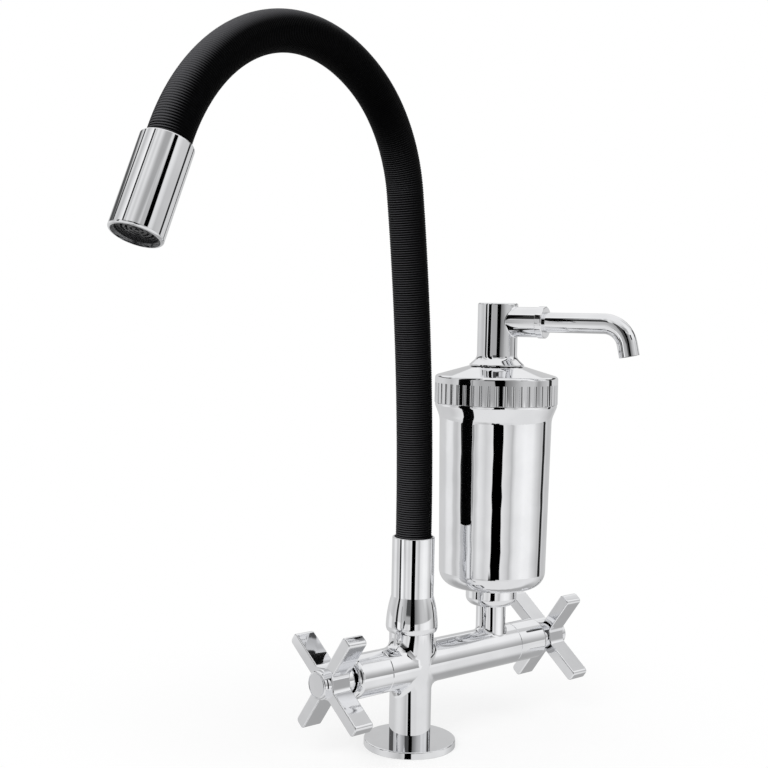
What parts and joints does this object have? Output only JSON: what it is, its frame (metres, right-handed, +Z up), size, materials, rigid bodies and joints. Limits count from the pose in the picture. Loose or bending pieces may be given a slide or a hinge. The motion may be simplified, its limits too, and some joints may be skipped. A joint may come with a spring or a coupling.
{
  "type": "drinking water filter tap",
  "caption": "Deck tap with cross handles, a bendable hose spout and a side filter housing with its own swivel spout.",
  "frame": {"origin": "centre of the flange's underside, in the mouth of the inlet socket", "axes": "+Z up along the column, +X along the arm that carries the filter, the user stands on -Y"},
  "size_m": [0.3643, 0.1231, 0.412],
  "materials": {
    "chrome": "polished chrome plate on brass",
    "hose_rubber": "matt black ribbed rubber",
    "seal_rubber": "matt black rubber",
    "brass": "machined brass",
    "ceramic": "lapped ceramic",
    "steel": "stainless steel",
    "tube_plastic": "clear flexible tube",
    "grille_plastic": "dark grey plastic",
    "white_plastic": "white plastic",
    "carbon": "pressed activated carbon"
  },
  "bodies": {
    "stand": {"base_flange": "chrome", "base_gasket": "seal_rubber", "tap_body": "chrome", "seat_washers": "seal_rubber", "fixed_discs": "ceramic", "spindle_seals": "seal_rubber", "left_valve_body": "brass", "right_valve_body": "brass", "left_bonnet": "chrome", "right_bonnet": "chrome", "swivel_clip": "steel", "adapter_washer": "seal_rubber", "filter_adapter": "chrome", "filter_canister": "chrome", "cartridge_base": "white_plastic", "cartridge_sleeve": "white_plastic", "carbon_block": "carbon", "cartridge_lid": "white_plastic", "cartridge_seal": "seal_rubber"},
    "left_valve_handle": {"left_handle": "chrome", "left_handle_screw": "steel", "left_index_button": "chrome", "left_spindle": "brass", "left_moving_disc": "ceramic"},
    "right_valve_handle": {"right_handle": "chrome", "right_handle_screw": "steel", "right_index_button": "chrome", "right_spindle": "brass", "right_moving_disc": "ceramic"},
    "hose_foot": {"spout_ferrule": "chrome", "swivel_nipple": "brass", "swivel_seals": "seal_rubber", "lower_crimp": "steel", "hose_leg": "hose_rubber", "hose_leg_flex": "hose_rubber", "gooseneck_core_leg": "steel", "water_tube_leg": "tube_plastic"},
    "hose_middle": {"hose_arch": "hose_rubber", "hose_arch_flex": "hose_rubber", "gooseneck_core_arch": "steel", "water_tube_arch": "tube_plastic"},
    "hose_end": {"hose_tip": "hose_rubber", "gooseneck_core_tip": "steel", "water_tube_tip": "tube_plastic", "aerator_sleeve": "chrome", "hose_end_fitting": "brass", "upper_crimp": "steel", "aerator_washer": "seal_rubber", "aerator_cage": "grille_plastic", "aerator_screen": "steel", "aerator_grille": "grille_plastic"},
    "cap_lift": {"cap_gasket": "seal_rubber"},
    "cap": {"filter_cap": "chrome"},
    "outlet": {"outlet_column": "chrome", "outlet_seal": "seal_rubber", "lock_ring": "brass", "spout_nut": "chrome", "spout_seal": "seal_rubber", "filter_spout": "chrome"}
  },
  "joints": [
    {"name": "left_handle_turn", "type": "hinge", "parent": "stand", "child": "left_valve_handle", "pos_m": [-0.0246, 0, 0.0487], "axis": [-1, 0, 0], "range_deg": [0, 90]},
    {"name": "right_handle_turn", "type": "hinge", "parent": "stand", "child": "right_valve_handle", "pos_m": [0.0839, 0, 0.0487], "axis": [1, 0, 0], "range_deg": [0, 90]},
    {"name": "hose_swivel", "type": "hinge", "parent": "stand", "child": "hose_foot", "pos_m": [0, 0, 0.0694], "axis": [0, 0, 1], "continuous": true},
    {"name": "hose_lower_bend", "type": "hinge", "parent": "hose_foot", "child": "hose_middle", "pos_m": [-0.00459, -0.0012, 0.23686], "axis": [0.2538, -0.9673, 0], "range_deg": [-15, 15], "deforming": ["hose_leg_flex", "gooseneck_core_leg", "water_tube_leg"]},
    {"name": "hose_upper_bend", "type": "hinge", "parent": "hose_middle", "child": "hose_end", "pos_m": [-0.07653, -0.02008, 0.3965], "axis": [0.2538, -0.9673, 0], "range_deg": [-20, 30], "deforming": ["hose_arch_flex", "gooseneck_core_arch", "water_tube_arch", "gooseneck_core_tip", "water_tube_tip"]},
    {"name": "cap_rise", "type": "slide", "parent": "stand", "child": "cap_lift", "axis": [0, 0, 1], "range_m": [0, 0.006]},
    {"name": "cap_turn", "type": "hinge", "parent": "cap_lift", "child": "cap", "pos_m": [0.0673, 0, 0.2125], "axis": [0, 0, 1], "range_deg": [0, 1080]},
    {"name": "filter_spout_swivel", "type": "hinge", "parent": "cap_lift", "child": "outlet", "pos_m": [0.0673, 0, 0.2279], "axis": [0, 0, 1], "range_deg": [-90, 225]}
  ],
  "couplings": [
    {"joint": "cap_rise", "follows": "cap_turn", "m_per_rad": 0.00031831}
  ]
}
